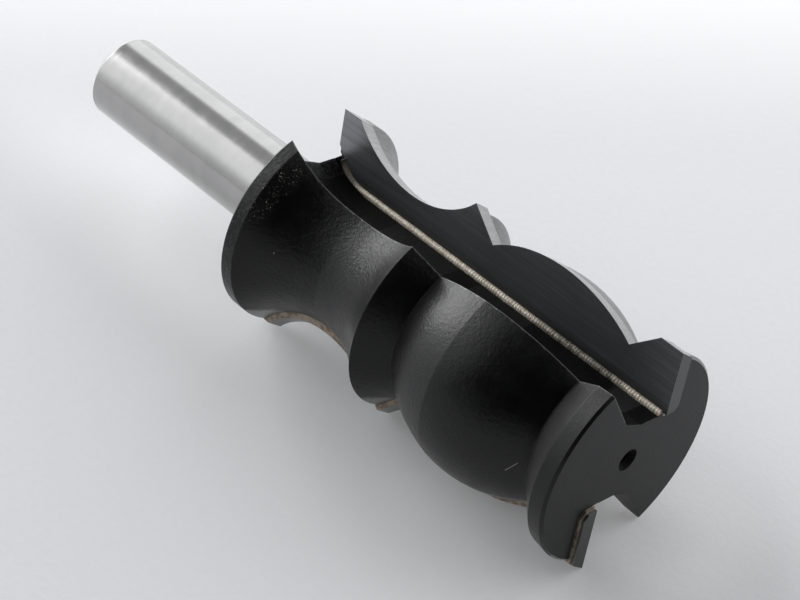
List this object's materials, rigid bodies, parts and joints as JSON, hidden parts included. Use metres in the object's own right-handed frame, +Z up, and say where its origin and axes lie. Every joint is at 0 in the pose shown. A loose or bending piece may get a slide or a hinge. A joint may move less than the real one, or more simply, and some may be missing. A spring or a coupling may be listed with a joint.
{
  "type": "router bit",
  "caption": "Profile router bit with a straight shank and brazed carbide tips that cut a barrel, a rib and a scoop.",
  "frame": {"origin": "on the bit's axis, at the shoulder where the shank meets the head", "axes": "+X along the axis towards the cutting end, +Z up as the bit lies at rest on its lower tip and the heels behind the gullet"},
  "size_m": [0.0976, 0.0302, 0.0296],
  "materials": {
    "coated_steel": "satin black coating on the head, bright ground steel on the shank",
    "carbide": "fine ground",
    "braze": "dull, rippled"
  },
  "bodies": {
    "root": {"cutter_body": "coated_steel", "carbide_tip_1": "carbide", "carbide_tip_2": "carbide", "braze_seam_1": "braze", "braze_seam_2": "braze"}
  },
  "joints": []
}
